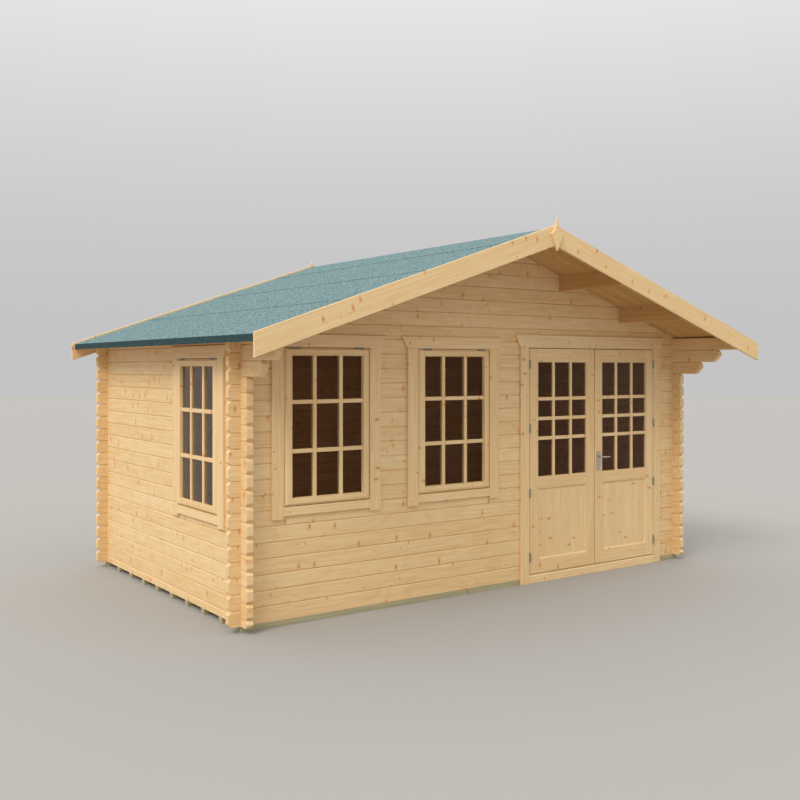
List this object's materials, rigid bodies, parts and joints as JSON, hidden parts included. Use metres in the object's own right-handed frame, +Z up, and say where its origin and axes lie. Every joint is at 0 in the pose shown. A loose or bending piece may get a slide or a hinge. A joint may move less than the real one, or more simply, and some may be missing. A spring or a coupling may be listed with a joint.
{
  "type": "log cabin",
  "caption": "Timber log cabin with a felted gable roof that oversails the front, three windows and an outward opening glazed double door.",
  "frame": {"origin": "on the ground under the middle of the whole object's box, roof overhangs included", "axes": "+X to the right along the front, -Y out of the front towards whoever walks in, +Z up"},
  "size_m": [5.236, 3.83, 3.0521],
  "materials": {
    "log_pine": "planed, untreated",
    "board_pine": "planed, untreated",
    "joinery_pine": "planed and sanded, untreated",
    "roof_pine": "planed tongue and groove, untreated",
    "floor_pine": "planed tongue and groove, untreated",
    "treated_timber": "sawn, pressure treated",
    "mineral_felt": "matt mineral grit",
    "glazing": "clear float glass",
    "hinge_steel": "zinc plated",
    "handle_steel": "satin"
  },
  "bodies": {
    "cabin": {"bearers": "treated_timber", "floor_boards": "floor_pine", "front_wall_left": "log_pine", "front_wall_right": "log_pine", "front_gable": "log_pine", "back_wall": "log_pine", "left_wall": "log_pine", "right_wall": "log_pine", "ridge_purlin": "roof_pine", "purlins": "roof_pine", "roof_boards_left": "roof_pine", "roof_boards_right": "roof_pine", "roof_felt": "mineral_felt", "eave_battens": "roof_pine", "bargeboard_front_left": "board_pine", "bargeboard_front_right": "board_pine", "bargeboard_back_left": "board_pine", "bargeboard_back_right": "board_pine", "finial_front": "board_pine", "finial_back": "board_pine", "window_left_lining": "joinery_pine", "window_left_trim": "board_pine", "window_left_sash": "joinery_pine", "window_left_glass": "glazing", "window_right_lining": "joinery_pine", "window_right_trim": "board_pine", "window_right_sash": "joinery_pine", "window_right_glass": "glazing", "window_side_lining": "joinery_pine", "window_side_trim": "board_pine", "window_side_sash": "joinery_pine", "window_side_glass": "glazing", "door_lining": "joinery_pine", "door_trim": "board_pine", "door_hinge_pins": "hinge_steel"},
    "left_door": {"left_leaf": "joinery_pine", "left_leaf_panel": "joinery_pine", "left_leaf_glass": "glazing", "left_leaf_hinges": "hinge_steel"},
    "right_door": {"right_leaf": "joinery_pine", "right_leaf_panel": "joinery_pine", "right_leaf_glass": "glazing", "right_leaf_hinges": "hinge_steel", "handle_plates": "handle_steel"},
    "door_handle": {"handle_lever": "handle_steel"}
  },
  "joints": [
    {"name": "left_door_hinge", "type": "hinge", "parent": "cabin", "child": "left_door", "pos_m": [0.39, -1.183, 1], "axis": [0, 0, -1], "range_deg": [0, 160]},
    {"name": "right_door_hinge", "type": "hinge", "parent": "cabin", "child": "right_door", "pos_m": [1.99, -1.183, 1], "axis": [0, 0, 1], "range_deg": [0, 100]},
    {"name": "handle_turn", "type": "hinge", "parent": "right_door", "child": "door_handle", "pos_m": [1.236, -1.155, 1.057], "axis": [0, 1, 0], "range_deg": [0, 40], "stiffness_Nm_per_rad": 1.5, "springref_deg": -22.92}
  ]
}
